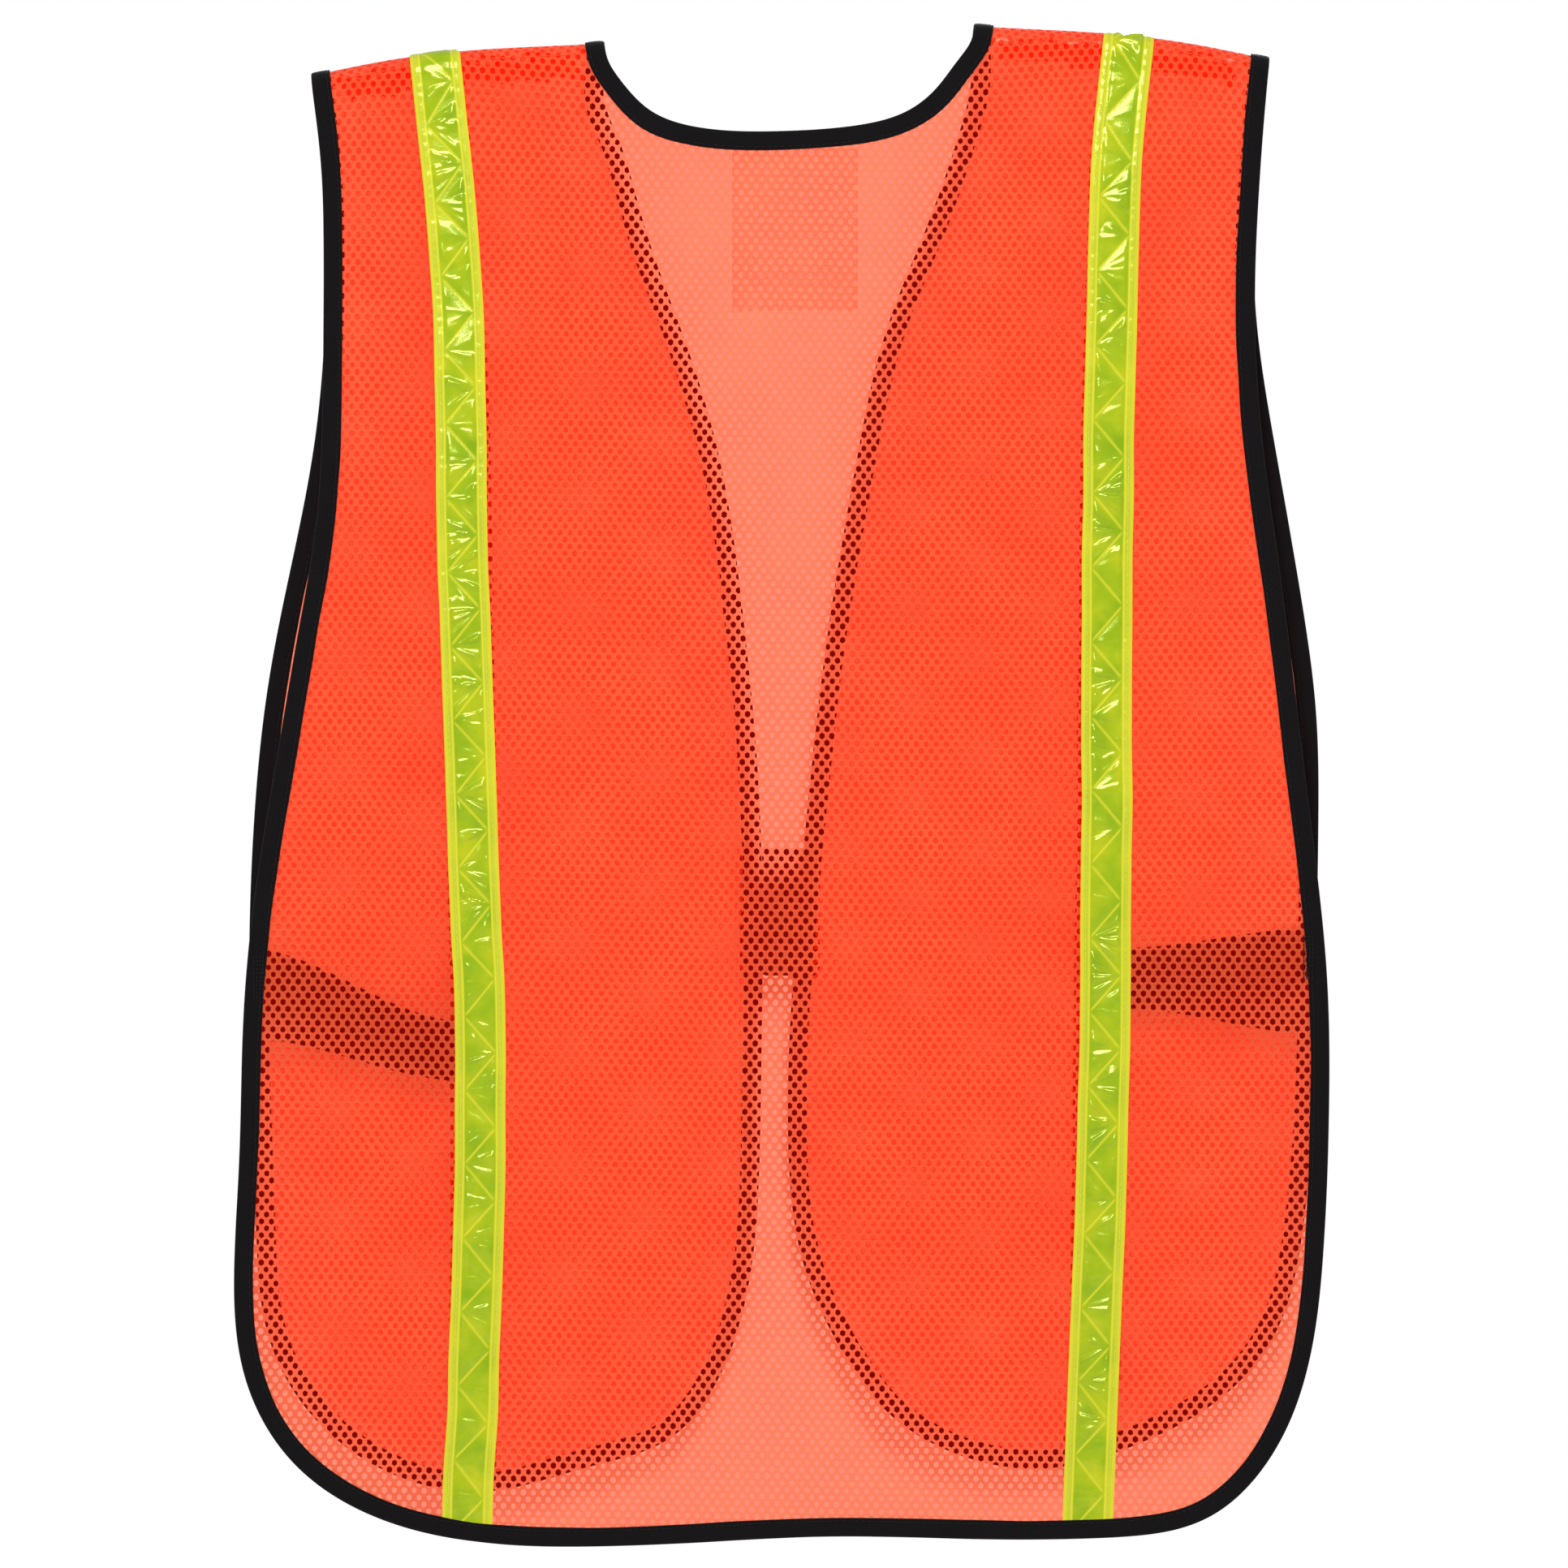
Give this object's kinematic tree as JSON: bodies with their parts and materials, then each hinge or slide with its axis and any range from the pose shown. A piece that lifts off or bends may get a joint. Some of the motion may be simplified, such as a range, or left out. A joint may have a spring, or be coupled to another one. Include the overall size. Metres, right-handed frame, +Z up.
{
  "type": "high visibility vest",
  "caption": "Sleeveless mesh safety vest with bound edges, two reflective tapes over the shoulders, elastic side straps and a hook-and-loop front closure.",
  "frame": {"origin": "centre of the neck opening at shoulder height, midway between the back and the fronts, where the vest hangs", "axes": "+Z up, the front faces -Y, the wearer's left is +X"},
  "size_m": [0.5397, 0.0234, 0.7508],
  "materials": {
    "mesh_orange": "matte",
    "binding_black": "matte",
    "tape_lime": "gloss",
    "elastic_black": "matte",
    "hook_loop_black": "matte",
    "label_white": "satin",
    "thread_black": "matte"
  },
  "bodies": {
    "back_and_shoulders": {"back_panel": "mesh_orange", "left_shoulder_panel": "mesh_orange", "right_shoulder_panel": "mesh_orange", "left_shoulder_seam": "mesh_orange", "right_shoulder_seam": "mesh_orange", "neck_binding": "binding_black", "left_armhole_binding": "binding_black", "right_armhole_binding": "binding_black", "back_hem_binding": "binding_black", "left_back_tape": "tape_lime", "right_back_tape": "tape_lime", "left_side_strap": "elastic_black", "right_side_strap": "elastic_black", "strap_tacks": "thread_black", "care_label": "label_white"},
    "left_front": {"left_front_panel": "mesh_orange", "left_front_binding": "binding_black", "left_front_tape": "tape_lime", "closure_tab_base": "hook_loop_black"},
    "right_front": {"right_front_panel": "mesh_orange", "right_front_binding": "binding_black", "right_front_tape": "tape_lime", "closure_patch": "hook_loop_black"},
    "tab": {"closure_tab": "hook_loop_black"}
  },
  "joints": [
    {"name": "left_front_fold", "type": "hinge", "parent": "back_and_shoulders", "child": "left_front", "pos_m": [0.09, -0.0135, -0.036], "axis": [-0.3529, 0, 0.9357], "range_deg": [0, 160]},
    {"name": "right_front_fold", "type": "hinge", "parent": "back_and_shoulders", "child": "right_front", "pos_m": [-0.089, -0.0135, -0.034], "axis": [-0.3476, 0, -0.9376], "range_deg": [0, 160], "deforming": ["closure_tab"]},
    {"name": "closure_tab_peel", "type": "hinge", "parent": "left_front", "child": "tab", "pos_m": [0.013, -0.013, -0.4385], "axis": [0, 0, 1], "range_deg": [0, 150]}
  ]
}
